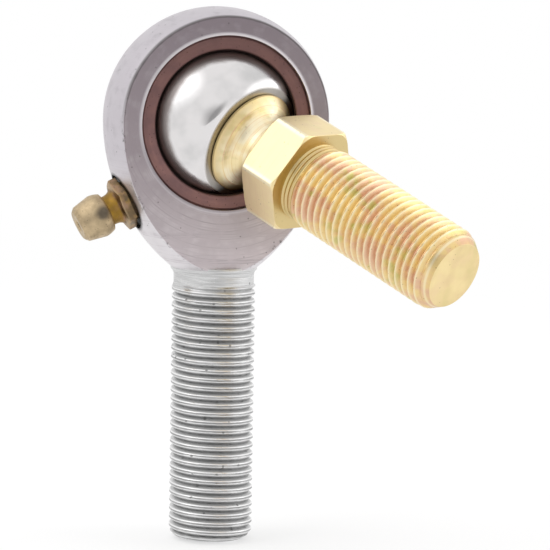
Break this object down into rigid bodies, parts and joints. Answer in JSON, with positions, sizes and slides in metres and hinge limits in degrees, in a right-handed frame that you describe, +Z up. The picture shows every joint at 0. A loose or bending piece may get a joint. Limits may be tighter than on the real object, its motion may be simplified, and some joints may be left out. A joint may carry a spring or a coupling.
{
  "type": "rod end bearing",
  "caption": "Male rod end with a threaded shank, a spherical bearing whose ball carries a hexagon-shouldered threaded stud, and a grease nipple on the rim of its eye.",
  "frame": {"origin": "centre of the flat end of the threaded shank", "axes": "+Z runs up the shank to the eye, the front of the eye faces -Y, and the grease nipple is on the -X side"},
  "size_m": [0.0499, 0.0536, 0.0791],
  "materials": {
    "bright_zinc": "satin zinc plate",
    "race_bronze": "matt reddish brown",
    "hard_chrome": "mirror",
    "yellow_zinc": "iridescent yellow zinc plate",
    "nipple_zinc": "dull olive yellow zinc plate",
    "bearing_steel": "ground",
    "spring_steel": "drawn wire"
  },
  "bodies": {
    "housing": {"rod_end_body": "bright_zinc", "race_insert": "race_bronze", "grease_nipple": "nipple_zinc", "nipple_spring": "spring_steel"},
    "ball": {"ball": "hard_chrome"},
    "stud": {"stud": "yellow_zinc"},
    "valve": {"nipple_check_ball": "bearing_steel"}
  },
  "joints": [
    {"name": "tilt", "type": "hinge", "parent": "housing", "child": "ball", "pos_m": [0, 0, 0.0625], "axis": [0.6157, 0, 0.788], "range_deg": [-74.99, 0.4]},
    {"name": "spin", "type": "hinge", "parent": "ball", "child": "stud", "pos_m": [0, 0, 0.0625], "axis": [0.4775, -0.7955, -0.3731], "continuous": true},
    {"name": "valve", "type": "slide", "parent": "housing", "child": "valve", "axis": [0.9026, 0, 0.4305], "range_m": [0, 0.0008], "stiffness_N_per_m": 400, "springref_m": -0.001, "deforming": ["nipple_spring"]}
  ]
}
